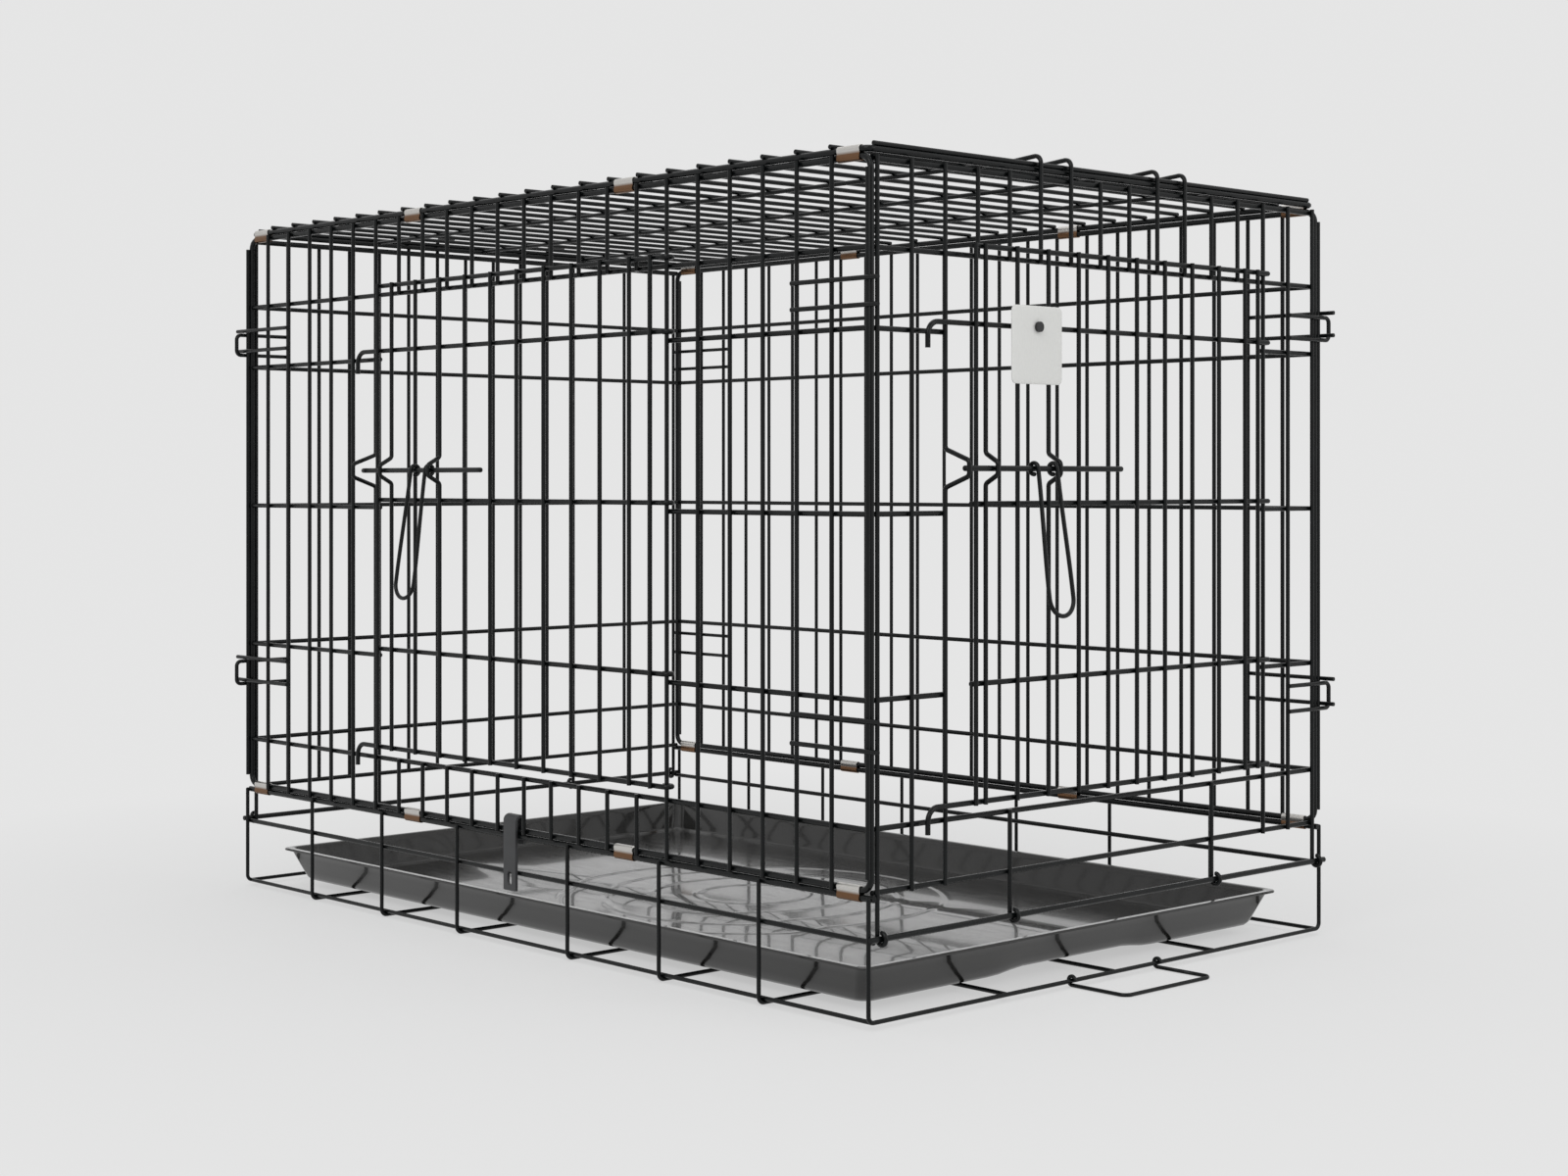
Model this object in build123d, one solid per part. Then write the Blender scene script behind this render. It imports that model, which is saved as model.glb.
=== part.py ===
from build123d import *
import math
import os

# A folding wire pet crate of the 30-inch class, in millimetres.
# X runs along the crate with the front end at +X, Y across it with the side door at -Y, and Z up.
# The origin is on the floor, under the middle of the centre floor wire.
# Every wire is an octagonal rod whose flats face the wires that it is welded to.

# Overall lattice
LENGTH = 752.0
WIDTH = 484.0
HEIGHT = 558.0

# Wire diameters
BAR = 3.0
RAIL = 3.4
FRAME = 4.2
HINGE = 3.8
ROD = 3.8
GRIP_WIRE = 3.0
GATE_WIRE = 2.5
FLAT_COUNT = 8
SHORTEST_RUN = 0.05

# Clearances
PANEL_GAP = 0.4
EYE_CLEAR = 0.4
RUN_CLEAR = 0.3
GATE_CLEAR = 0.25
SEAT_CLEAR = 0.3

# Upright bars of the panels
SIDE_BARS = 24
SIDE_INSET = 2.2
END_BARS = 16
END_INSET = 9.6
END_RAIL_INSET = 8.0
STUB_OVERHANG = 2.0

# Heights of the rails
CLIP_LINE = 84.2
RAIL_6 = 125.0
RAIL_5 = 206.0
RAIL_4 = 323.0
RAIL_3 = 440.0
RAIL_2 = 491.0
END_BOTTOM_RAIL = 85.0
END_TOP_DROP = 1.7

# Short wires at the corners of the side panels
CORNER_WIRES = (471.0, 454.0, 194.0, 175.0)
CORNER_WIRE_BARS = 2
CORNER_WIRE_REACH = 10.0

# Frames
FRAME_INSET = 3.0
FRAME_BEND = 8.0
ROOF_BEND = 5.0
ROOF_RIB_SHARES = (-0.24, 0.0, 0.24)

# Base
BASE_BAYS = 22
BASE_CROSS_AT = (0, 3, 6, 9, 13, 16, 19, 22)
BASE_BEND = 8.0
FLOOR_WIRE_SHARES = (-0.46, -0.23, 0.0, 0.23, 0.46)
FLOOR_WIRE_REACH = 2.0
MID_RAIL = 55.0
HINGE_HEIGHT = 57.0

# Sheet metal clips
CLIP_LENGTH = 20.0
CLIP_SHEET = 0.8
CLIP_CORNER = 1.0
CLIP_BAYS = (7, 15)

# End panels: bars with a foot eye and bars with a top hook
FOOT_BARS = (0, 4, 11, 15)
HOOK_BARS = (5, 6, 9, 10)
HOOK_RISE = 4.5
HOOK_REACH = 25.0
HOOK_DROP = 2.0
HOOK_BEND = 5.0
SNAP_BAR = 14
SNAP_REACH = 9.0
SNAP_DROP = 3.4
SNAP_BEND = 4.0
EYE_TURN = 270.0

# Door openings, by the bars that stand beside them
FRONT_KEEPER = 2
FRONT_HINGE = 13
FRONT_LOW_BARS = (4, 11)
SIDE_KEEPER = 17
SIDE_HINGE = 6

# Doors
DOOR_LIFT = 6.0
DOOR_LOW_LIFT = 10.0
FRONT_LATCH_EDGE = 21.7
FRONT_HINGE_EDGE = 15.5
SIDE_LATCH_EDGE = 13.0
SIDE_HINGE_EDGE = 9.8
STOP_REACH = 20.0
STOP_DROP = 17.0
STOP_BEND = 9.0

# Slide bolts
BOLT_HEIGHT = 352.0
BOLT_LENGTH = 159.0
BOLT_TIP_GAP = 0.9
GUIDE_BARS = (1, 3)
GUIDE_HALF = 10.0
GUIDE_FLAT = 4.0
KEEPER_OUT = 21.0
KEEPER_HALF = 12.5
KEEPER_FLAT = 5.0
BUMP_BEND = 3.0
GRIP_SPACING = 19.0
GRIP_SIDE_GAP = 0.6
GRIP_LENGTH = 98.0
GRIP_LEAN = 8.0

# Tray
TRAY_LENGTH = 702.0
TRAY_WIDTH = 443.0
TRAY_TOP = 33.0
TRAY_WALL = 2.0
TRAY_FLANGE = 5.5
TRAY_SLOPE = 22.0
TRAY_CORNER = 16.0
RUNNER_HEIGHT = 2.9
RUNNER_WIDTH = 5.0
RUNNER_SETBACK = 16.0

# Tray gate
GATE_WIDTH = 92.0
GATE_LENGTH = 47.0
GATE_BEND = 6.0

# Card on the front door
CARD_WIDTH = 50.0
CARD_HEIGHT = 52.0
CARD_THICK = 2.0
CARD_CORNER = 4.0
CARD_ALONG = 150.0
CARD_ABOVE_RAIL = 14.0
TIE_WIDTH = 4.0
TIE_BAND = 1.3
TIE_STEM = 1.5
TIE_HEAD = 3.5
TIE_HEAD_THICK = 2.0

# Carry handle
STRAP_WIDTH = 15.0
STRAP_THICK = 2.5
STRAP_BAY = 11
STRAP_TOP = 98.0
STRAP_FOOT = 42.0
STRAP_INNER_FOOT = 76.0
STRAP_SLOT_LENGTH = 10.0
STRAP_SLOT_WIDTH = 5.0
STRAP_SLOT_ABOVE = 9.0

# Places that follow from the sizes above
SIDE_PITCH = (LENGTH - 2 * SIDE_INSET) / (SIDE_BARS - 1)
END_PITCH = (WIDTH - 2 * END_INSET) / (END_BARS - 1)
FOOT_EYE = HINGE / 2 + BAR / 2 + EYE_CLEAR
HINGE_X = LENGTH / 2 + HINGE / 2
END_PLANE = HINGE_X - FOOT_EYE
SIDE_PLANE = WIDTH / 2 - BAR / 2
FRAME_OUT = -(BAR + FRAME) / 2
RAIL_OUT = -(BAR + RAIL) / 2
PANEL_LOW = CLIP_LINE + PANEL_GAP / 2
ROOF_EDGE = HEIGHT - BAR - FRAME / 2
PANEL_HIGH = ROOF_EDGE - FRAME / 2 - PANEL_GAP
ROOF_END = END_PLANE - BAR / 2 - EYE_CLEAR - FRAME / 2
END_TOP = ROOF_EDGE - FRAME - END_TOP_DROP
HOOK_HEIGHT = HEIGHT + HOOK_RISE
BASE_TOP = CLIP_LINE - PANEL_GAP / 2
BASE_CROSS = BAR + BAR / 2
DOOR_RAIL_OUT = BAR / 2 + EYE_CLEAR + RAIL / 2
DOOR_BAR_OUT = DOOR_RAIL_OUT + RAIL / 2 + BAR / 2
DOOR_FACE_OUT = DOOR_BAR_OUT + BAR / 2
GRIP_EYE = ROD / 2 + GRIP_WIRE / 2 + RUN_CLEAR
BOLT_OUT = DOOR_FACE_OUT + RUN_CLEAR + GRIP_WIRE / 2 + GRIP_EYE
GUIDE_OUT = BOLT_OUT + ROD / 2 + RUN_CLEAR + BAR / 2
GATE_EYE = BAR / 2 + GATE_WIRE / 2 + GATE_CLEAR
TRAY_LOW = 2 * BAR + SEAT_CLEAR + RUNNER_HEIGHT
DOOR_RAILS = (RAIL_2 + DOOR_LIFT, RAIL_4 + DOOR_LIFT, RAIL_5 + DOOR_LIFT)
DOOR_STOP_RAILS = (RAIL_3 + DOOR_LIFT, RAIL_6 + DOOR_LOW_LIFT)
DOOR_HIGH = RAIL_2 + DOOR_LIFT + RAIL / 2
DOOR_LOW = RAIL_6 + DOOR_LOW_LIFT - RAIL / 2
UP = Vector(0, 0, 1)


def near_side(along, out, height):
    """A point on the side with the door, along from the front corner and out from the bars."""
    return Vector(LENGTH / 2 - along, -SIDE_PLANE - out, height)


def far_side(along, out, height):
    """A point on the closed side, along from the rear corner and out from the bars."""
    return Vector(along - LENGTH / 2, SIDE_PLANE + out, height)


def front_end(along, out, height):
    """A point on the front end, along from the door side and out from the bars."""
    return Vector(END_PLANE + out, along - WIDTH / 2, height)


def rear_end(along, out, height):
    """A point on the rear end, along from the closed side and out from the bars."""
    return Vector(-END_PLANE - out, WIDTH / 2 - along, height)


def side_bar(index):
    """How far along a side an upright bar stands."""
    return SIDE_INSET + index * SIDE_PITCH


def end_bar(index):
    """How far along an end an upright bar stands."""
    return END_INSET + index * END_PITCH


def section(at, heading, side, diameter):
    """The octagonal section of a wire at a point, with a flat facing to the side."""
    plane = Plane(origin=at, x_dir=side, z_dir=heading)
    half_step = 180 / FLAT_COUNT
    return plane * RegularPolygon(diameter / 2, FLAT_COUNT, major_radius=False, rotation=half_step)


def straight(start, end, diameter, side=None):
    """One straight length of wire."""
    heading = end - start
    if side is None:
        side = Vector(1, 0, 0) if abs(heading.normalized().X) < 0.5 else UP
    return extrude(section(start, heading, side, diameter), amount=heading.length)


def curl(at, heading, inward, radius, turn, diameter):
    """A bend that starts at a point with a heading and turns towards inward."""
    about = heading.normalized().cross(inward.normalized())
    axis = Axis(at + inward.normalized() * radius, about)
    return revolve(section(at, heading, about, diameter), axis=axis, revolution_arc=turn)


def wire(points, diameter, radius, closed=False):
    """A bent wire as its straight runs and its bends, which meet face to face."""
    count = len(points)
    corners = range(count) if closed else range(1, count - 1)
    leaves = {}
    arrives = {}
    normals = {}
    pieces = []
    for corner in corners:
        into = (points[corner] - points[corner - 1]).normalized()
        away = (points[(corner + 1) % count] - points[corner]).normalized()
        turn = into.get_angle(away)
        tangent = radius * math.tan(math.radians(turn / 2))
        inward = (away - into * into.dot(away)).normalized()
        arrives[corner] = points[corner] - into * tangent
        leaves[corner] = points[corner] + away * tangent
        normals[corner] = into.cross(inward)
        pieces.append(curl(arrives[corner], into, inward, radius, turn, diameter))
    for index in range(count if closed else count - 1):
        following = (index + 1) % count
        start = leaves.get(index, points[index])
        end = arrives.get(following, points[following])
        if (end - start).length > SHORTEST_RUN:
            side = normals.get(index, normals.get(following))
            pieces.append(straight(start, end, diameter, side))
    return pieces


def eye(at, heading, inward, radius, diameter):
    """The open eye at the end of a wire, round a hinge wire beside it."""
    return curl(at, heading, inward, radius, EYE_TURN, diameter)


def across(face):
    """The direction that runs along a face."""
    return (face(1, 0, 0) - face(0, 0, 0)).normalized()


def outward(face):
    """The direction that points out of a face."""
    return (face(0, 1, 0) - face(0, 0, 0)).normalized()


def upright(face, along, out, low, high, diameter=BAR):
    """One upright length of wire on a face."""
    return straight(face(along, out, low), face(along, out, high), diameter)


def level(face, start, end, out, height, diameter=RAIL):
    """One level length of wire on a face."""
    return straight(face(start, out, height), face(end, out, height), diameter)


def bumped(face, along, out, low, high, bump_out, half, flat):
    """An upright bar with a bump in it at the height of the bolt."""
    points = [
        face(along, out, low),
        face(along, out, BOLT_HEIGHT - half),
        face(along, bump_out, BOLT_HEIGHT - flat),
        face(along, bump_out, BOLT_HEIGHT + flat),
        face(along, out, BOLT_HEIGHT + half),
        face(along, out, high),
    ]
    return wire(points, BAR, BUMP_BEND)


def wire_panel_bars(face, bars, spacing, low, high, opening, skipped):
    """The plain upright bars of a panel, cut away where its door opening is."""
    pieces = []
    for index in range(bars):
        if index in skipped:
            continue
        along = spacing(index)
        if index in opening:
            pieces.append(upright(face, along, 0, RAIL_2 - RAIL / 2, high))
            pieces.append(upright(face, along, 0, low, RAIL_6 + RAIL / 2))
        else:
            pieces.append(upright(face, along, 0, low, high))
    return pieces


def side_frame(face):
    """The rounded frame wire of a side panel."""
    low = PANEL_LOW + FRAME / 2
    high = PANEL_HIGH - FRAME / 2
    corners = [
        face(FRAME_INSET, FRAME_OUT, low),
        face(LENGTH - FRAME_INSET, FRAME_OUT, low),
        face(LENGTH - FRAME_INSET, FRAME_OUT, high),
        face(FRAME_INSET, FRAME_OUT, high),
    ]
    return wire(corners, FRAME, FRAME_BEND, closed=True)


def side_bars(face, opening=(), keepers=()):
    """The upright bars of a side panel. The outer two stop where the frame starts to bend."""
    ends = (0, SIDE_BARS - 1)
    bars = wire_panel_bars(
        face, SIDE_BARS, side_bar, PANEL_LOW, PANEL_HIGH, opening, ends + tuple(keepers)
    )
    low = PANEL_LOW + FRAME / 2 + FRAME_BEND
    high = PANEL_HIGH - FRAME / 2 - FRAME_BEND
    return bars + [upright(face, side_bar(index), 0, low, high) for index in ends]


def side_rails(face, gap=None):
    """The level rails between the frame's uprights, with stubs where a gap is given."""
    start = FRAME_INSET + FRAME / 2
    end = LENGTH - start
    rails = [level(face, start, end, RAIL_OUT, height) for height in (RAIL_2, RAIL_6)]
    for height in (RAIL_3, RAIL_4, RAIL_5):
        if gap is None:
            rails.append(level(face, start, end, RAIL_OUT, height))
        else:
            rails.append(level(face, start, side_bar(gap[0]) + STUB_OVERHANG, RAIL_OUT, height))
            rails.append(level(face, side_bar(gap[1]) - STUB_OVERHANG, end, RAIL_OUT, height))
    return rails


def corner_wires(face):
    """The short wires across the corner bars of a side, which reach past the ends."""
    inner = side_bar(CORNER_WIRE_BARS) + STUB_OVERHANG
    wires = []
    for height in CORNER_WIRES:
        wires.append(level(face, -CORNER_WIRE_REACH, inner, BAR, height, BAR))
        wires.append(level(face, LENGTH - inner, LENGTH + CORNER_WIRE_REACH, BAR, height, BAR))
    return wires


def clip(face, along, height):
    """A folded sheet clip round two level wires."""
    inner = (FRAME, 2 * FRAME + PANEL_GAP)
    plane = Plane(
        origin=face(along - CLIP_LENGTH / 2, FRAME_OUT, height),
        x_dir=outward(face),
        z_dir=across(face),
    )
    hole = plane * RectangleRounded(inner[0], inner[1], CLIP_CORNER)
    band = plane * RectangleRounded(
        inner[0] + 2 * CLIP_SHEET, inner[1] + 2 * CLIP_SHEET, CLIP_CORNER + CLIP_SHEET
    )
    return extrude(band - hole, amount=CLIP_LENGTH)


def side_clips(face, height):
    """The four clips along one edge of a side panel."""
    end = FRAME_INSET + FRAME_BEND + SEAT_CLEAR + CLIP_LENGTH / 2
    places = [end, LENGTH - end]
    places += [side_bar(bay) + SIDE_PITCH / 2 for bay in CLIP_BAYS]
    return [clip(face, along, height) for along in places]


def roof_frame():
    """The rounded frame wire of the roof."""
    side = SIDE_PLANE + FRAME_OUT
    corners = [
        Vector(ROOF_END, -side, ROOF_EDGE),
        Vector(ROOF_END, side, ROOF_EDGE),
        Vector(-ROOF_END, side, ROOF_EDGE),
        Vector(-ROOF_END, -side, ROOF_EDGE),
    ]
    return wire(corners, FRAME, ROOF_BEND, closed=True)


def roof_bars():
    """The bars across the roof, on top of its frame."""
    pitch = 2 * ROOF_END / (SIDE_BARS - 1)
    height = HEIGHT - BAR / 2
    bars = []
    for index in range(SIDE_BARS):
        reach = SIDE_PLANE + FRAME_OUT + FRAME / 2
        if index in (0, SIDE_BARS - 1):
            reach = SIDE_PLANE + FRAME_OUT - ROOF_BEND
        x = ROOF_END - index * pitch
        bars.append(straight(Vector(x, -reach, height), Vector(x, reach, height), BAR))
    return bars


def roof_ribs():
    """The lengthwise wires under the roof bars."""
    reach = ROOF_END - FRAME / 2
    height = HEIGHT - BAR - BAR / 2
    ribs = []
    for share in ROOF_RIB_SHARES:
        y = share * WIDTH
        ribs.append(straight(Vector(-reach, y, height), Vector(reach, y, height), BAR))
    return ribs


def base_floor_wires():
    """The lengthwise wires that lie on the floor."""
    reach = LENGTH / 2 + FLOOR_WIRE_REACH
    wires = []
    for share in FLOOR_WIRE_SHARES:
        y = share * WIDTH
        wires.append(straight(Vector(-reach, y, BAR / 2), Vector(reach, y, BAR / 2), BAR))
    return wires


def base_cross_wires():
    """The cross wires under the tray, whose ends stand up as the sides of the base."""
    wires = []
    for bay in BASE_CROSS_AT:
        x = (LENGTH - BAR) * (0.5 - bay / BASE_BAYS)
        points = [
            Vector(x, -SIDE_PLANE, BASE_TOP),
            Vector(x, -SIDE_PLANE, BASE_CROSS),
            Vector(x, SIDE_PLANE, BASE_CROSS),
            Vector(x, SIDE_PLANE, BASE_TOP),
        ]
        wires += wire(points, BAR, BASE_BEND)
    return wires


def base_side_rails():
    """The two rails along each side of the base."""
    rails = []
    for face in (near_side, far_side):
        rails.append(level(face, 0, LENGTH, FRAME_OUT, BASE_TOP - FRAME / 2, FRAME))
        rails.append(level(face, 0, LENGTH, RAIL_OUT, MID_RAIL))
    return rails


def base_hinge_wire(end):
    """The wire across one end of the base that the end panel hinges on."""
    x = end * HINGE_X
    return straight(Vector(x, -WIDTH / 2, HINGE_HEIGHT), Vector(x, WIDTH / 2, HINGE_HEIGHT), HINGE)


def end_bars(face, opening=(), keepers=()):
    """The plain upright bars of an end panel."""
    low = END_BOTTOM_RAIL - RAIL / 2
    high = END_TOP + FRAME / 2
    bars = []
    for index in range(END_BARS):
        if index in keepers:
            continue
        bottom = HINGE_HEIGHT if index in FOOT_BARS else low
        top = HOOK_HEIGHT if index in HOOK_BARS else high
        if index in opening:
            if index not in HOOK_BARS:
                bars.append(upright(face, end_bar(index), 0, RAIL_2 - RAIL / 2, top))
            if index in FRONT_LOW_BARS:
                bars.append(upright(face, end_bar(index), 0, bottom, RAIL_6 + RAIL / 2))
        elif index not in HOOK_BARS:
            bars.append(upright(face, end_bar(index), 0, bottom, top))
    return bars


def foot_eyes(face):
    """The eyes at the feet of an end panel, round the hinge wire of the base."""
    eyes = []
    for index in FOOT_BARS:
        start = face(end_bar(index), 0, HINGE_HEIGHT)
        eyes.append(eye(start, -UP, outward(face), FOOT_EYE, BAR))
    return eyes


def hook_bars(face, opening=()):
    """The bars that rise past the roof's end and bend in over it."""
    low = END_BOTTOM_RAIL - RAIL / 2
    hooks = []
    for index in HOOK_BARS:
        bottom = RAIL_2 - RAIL / 2 if index in opening else low
        along = end_bar(index)
        points = [
            face(along, 0, bottom),
            face(along, 0, HOOK_HEIGHT),
            face(along, -HOOK_REACH, HOOK_HEIGHT - HOOK_DROP),
        ]
        hooks += wire(points, BAR, HOOK_BEND)
    return hooks


def end_rails(face, gap=None):
    """The level rails of an end panel, with stubs where a gap is given."""
    start = END_RAIL_INSET
    end = WIDTH - start
    rails = [level(face, start, end, FRAME_OUT, END_TOP, FRAME)]
    for height in (RAIL_2, RAIL_6, END_BOTTOM_RAIL):
        rails.append(level(face, start, end, RAIL_OUT, height))
    for height in (RAIL_3, RAIL_4, RAIL_5):
        if gap is None:
            rails.append(level(face, start, end, RAIL_OUT, height))
        else:
            rails.append(level(face, start, end_bar(gap[0]) + STUB_OVERHANG, RAIL_OUT, height))
            rails.append(level(face, end_bar(gap[1]) - STUB_OVERHANG, end, RAIL_OUT, height))
    return rails


def snap_loops(face):
    """The two loops at one edge of an end panel, which reach past the side's corner wires."""
    start = end_bar(SNAP_BAR) - STUB_OVERHANG
    reach = WIDTH + SNAP_REACH - BAR / 2
    loops = []
    for high, low in (CORNER_WIRES[:2], CORNER_WIRES[2:]):
        points = [
            face(start, BAR, high - SNAP_DROP),
            face(reach, BAR, high - SNAP_DROP),
            face(reach, BAR, low - SNAP_DROP),
            face(start, BAR, low - SNAP_DROP),
        ]
        loops += wire(points, BAR, SNAP_BEND)
    return loops


class Doorway:
    """A door opening, seen from its keeper bar: along runs from there towards the hinge bar."""

    def __init__(self, face, bar, keeper, hinge, latch_edge, hinge_edge):
        self.face = face
        self.start = bar(keeper)
        self.step = 1 if hinge > keeper else -1
        self.pitch = abs(bar(1) - bar(0))
        self.bays = abs(hinge - keeper)
        self.width = self.pitch * self.bays
        self.latch_edge = latch_edge
        self.hinge_edge = self.width - hinge_edge

    def at(self, along, out, height):
        """A point in the doorway."""
        return self.face(self.start + self.step * along, out, height)


def door_rails(way):
    """The plain rails of a door, from its latch edge to the eyes round the hinge bar."""
    rails = []
    for height in DOOR_RAILS:
        start = way.at(way.latch_edge - BAR / 2, DOOR_RAIL_OUT, height)
        rails.append(straight(start, way.at(way.width, DOOR_RAIL_OUT, height), RAIL))
    return rails


def door_stop_rails(way):
    """The rails that run past the latch edge and hook down outside the panel."""
    rails = []
    for height in DOOR_STOP_RAILS:
        points = [
            way.at(-STOP_REACH, DOOR_RAIL_OUT, height - STOP_DROP),
            way.at(-STOP_REACH, DOOR_RAIL_OUT, height),
            way.at(way.width, DOOR_RAIL_OUT, height),
        ]
        rails += wire(points, RAIL, STOP_BEND)
    return rails


def door_eyes(way):
    """The eyes at the hinge ends of the door's rails."""
    heading = way.at(1, 0, 0) - way.at(0, 0, 0)
    eyes = []
    for height in DOOR_RAILS + DOOR_STOP_RAILS:
        start = way.at(way.width, DOOR_RAIL_OUT, height)
        eyes.append(eye(start, heading, -outward(way.face), DOOR_RAIL_OUT, RAIL))
    return eyes


def door_bars(way):
    """The plain upright bars of a door, with its two edges."""
    places = [way.latch_edge, way.hinge_edge]
    places += [way.pitch * bay for bay in range(1, way.bays) if bay not in GUIDE_BARS]
    bars = []
    for along in places:
        start = way.at(along, DOOR_BAR_OUT, DOOR_LOW)
        bars.append(straight(start, way.at(along, DOOR_BAR_OUT, DOOR_HIGH), BAR))
    return bars


def bolt_guides(way):
    """The door bars that bulge out round the bolt and guide it."""
    guides = []
    for bay in GUIDE_BARS:
        along = way.start + way.step * way.pitch * bay
        guides += bumped(
            way.face, along, DOOR_BAR_OUT, DOOR_LOW, DOOR_HIGH, GUIDE_OUT, GUIDE_HALF, GUIDE_FLAT
        )
    return guides


def bolt_keeper(way, low, high):
    """The panel bar that bulges out to take the tip of the bolt."""
    return bumped(way.face, way.start, 0, low, high, KEEPER_OUT, KEEPER_HALF, KEEPER_FLAT)


def bolt_rod(way):
    """The sliding rod of the bolt, drawn back."""
    tip = BAR / 2 + BOLT_TIP_GAP
    start = way.at(tip, BOLT_OUT, BOLT_HEIGHT)
    return straight(start, way.at(tip + BOLT_LENGTH, BOLT_OUT, BOLT_HEIGHT), ROD)


def bolt_grip(way):
    """The hanging loop that slides and turns the bolt, with its eyes round the rod."""
    far = way.pitch * GUIDE_BARS[1] - BAR / 2 - GRIP_SIDE_GAP - GRIP_WIRE / 2
    near = far - GRIP_SPACING
    lean = math.radians(GRIP_LEAN)
    rise = UP * math.cos(lean) - outward(way.face) * math.sin(lean)
    inward = -outward(way.face) * math.cos(lean) - UP * math.sin(lean)
    tops = []
    pieces = []
    for along in (near, far):
        top = way.at(along, BOLT_OUT, BOLT_HEIGHT) - inward * GRIP_EYE
        tops.append(top)
        pieces.append(eye(top, rise, inward, GRIP_EYE, GRIP_WIRE))
    points = [tops[0], tops[0] - rise * GRIP_LENGTH, tops[1] - rise * GRIP_LENGTH, tops[1]]
    return pieces + wire(points, GRIP_WIRE, GRIP_SPACING / 2)


def card(way):
    """The blank card that hangs on the front door, with the hole for its tie."""
    tie_height = DOOR_STOP_RAILS[0]
    top = tie_height + CARD_ABOVE_RAIL
    back = DOOR_FACE_OUT + SEAT_CLEAR
    plane = Plane(
        origin=way.face(CARD_ALONG, back, top - CARD_HEIGHT / 2),
        x_dir=across(way.face),
        z_dir=outward(way.face),
    )
    outline = plane * RectangleRounded(CARD_WIDTH, CARD_HEIGHT, CARD_CORNER)
    hole_plane = Plane(
        origin=way.face(CARD_ALONG, back, tie_height), x_dir=across(way.face), z_dir=outward(way.face)
    )
    hole = hole_plane * Circle(TIE_STEM + SEAT_CLEAR)
    return extrude(outline - hole, amount=CARD_THICK)


def card_tie(way):
    """The tie round the door rail, whose stem goes through the card to a flat head."""
    height = DOOR_STOP_RAILS[0]
    ring_plane = Plane(
        origin=way.face(CARD_ALONG - TIE_WIDTH / 2, DOOR_RAIL_OUT, height),
        x_dir=outward(way.face),
        z_dir=across(way.face),
    )
    bore = (RAIL / 2) / math.cos(math.pi / FLAT_COUNT) + SEAT_CLEAR / 2
    ring = extrude(
        ring_plane * (Circle(bore + TIE_BAND) - Circle(bore)), amount=TIE_WIDTH
    )
    stem_start = DOOR_RAIL_OUT + bore + TIE_BAND / 2
    card_front = DOOR_FACE_OUT + SEAT_CLEAR + CARD_THICK
    stem_plane = Plane(
        origin=way.face(CARD_ALONG, stem_start, height), x_dir=UP, z_dir=outward(way.face)
    )
    stem = extrude(stem_plane * Circle(TIE_STEM), amount=card_front - stem_start)
    head_plane = Plane(
        origin=way.face(CARD_ALONG, card_front, height), x_dir=UP, z_dir=outward(way.face)
    )
    head = extrude(head_plane * Circle(TIE_HEAD), amount=TIE_HEAD_THICK)
    return ring + stem + head


def tapered_pan(length, width, corner, low, height):
    """A solid with a rounded rectangle for its bottom and walls that lean out."""
    base = Plane.XY.offset(low) * RectangleRounded(length, width, corner)
    return extrude(base, amount=height, taper=-TRAY_SLOPE)


def tray():
    """The plastic tray: a pan with leaning walls and a flange, and the runner strips under it."""
    height = TRAY_TOP - TRAY_LOW
    spread = height * math.tan(math.radians(TRAY_SLOPE))
    length = TRAY_LENGTH - 2 * TRAY_FLANGE - 2 * spread
    width = TRAY_WIDTH - 2 * TRAY_FLANGE - 2 * spread
    outer = tapered_pan(length, width, TRAY_CORNER, TRAY_LOW, height)
    floor = TRAY_LOW + TRAY_WALL
    inset = TRAY_WALL / math.cos(math.radians(TRAY_SLOPE))
    grown = TRAY_WALL * math.tan(math.radians(TRAY_SLOPE)) - inset
    inner = tapered_pan(
        length + 2 * grown, width + 2 * grown, TRAY_CORNER + grown, floor, height - TRAY_WALL
    )
    flange_plane = Plane.XY.offset(TRAY_TOP - TRAY_WALL)
    flange = extrude(
        flange_plane * RectangleRounded(TRAY_LENGTH, TRAY_WIDTH, TRAY_CORNER + spread + TRAY_FLANGE),
        amount=TRAY_WALL,
    )
    pieces = [outer + flange - inner]
    for side in (-1, 1):
        runner_y = side * (width / 2 - RUNNER_WIDTH / 2)
        runner = Plane.XY.offset(TRAY_LOW - RUNNER_HEIGHT) * Pos(0, runner_y) * Rectangle(
            length - 2 * RUNNER_SETBACK, RUNNER_WIDTH
        )
        pieces.append(extrude(runner, amount=RUNNER_HEIGHT))
    return pieces


def tray_gate():
    """The wire gate at the foot of the front end, folded down flat."""
    x = LENGTH / 2 - BAR / 2
    height = BASE_CROSS - GATE_EYE
    half = GATE_WIDTH / 2
    points = [
        Vector(x, -half, height),
        Vector(x + GATE_LENGTH, -half, height),
        Vector(x + GATE_LENGTH, half, height),
        Vector(x, half, height),
    ]
    pieces = wire(points, GATE_WIRE, GATE_BEND)
    for side in (-half, half):
        pieces.append(eye(Vector(x, side, height), Vector(-1, 0, 0), UP, GATE_EYE, GATE_WIRE))
    return pieces


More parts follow.
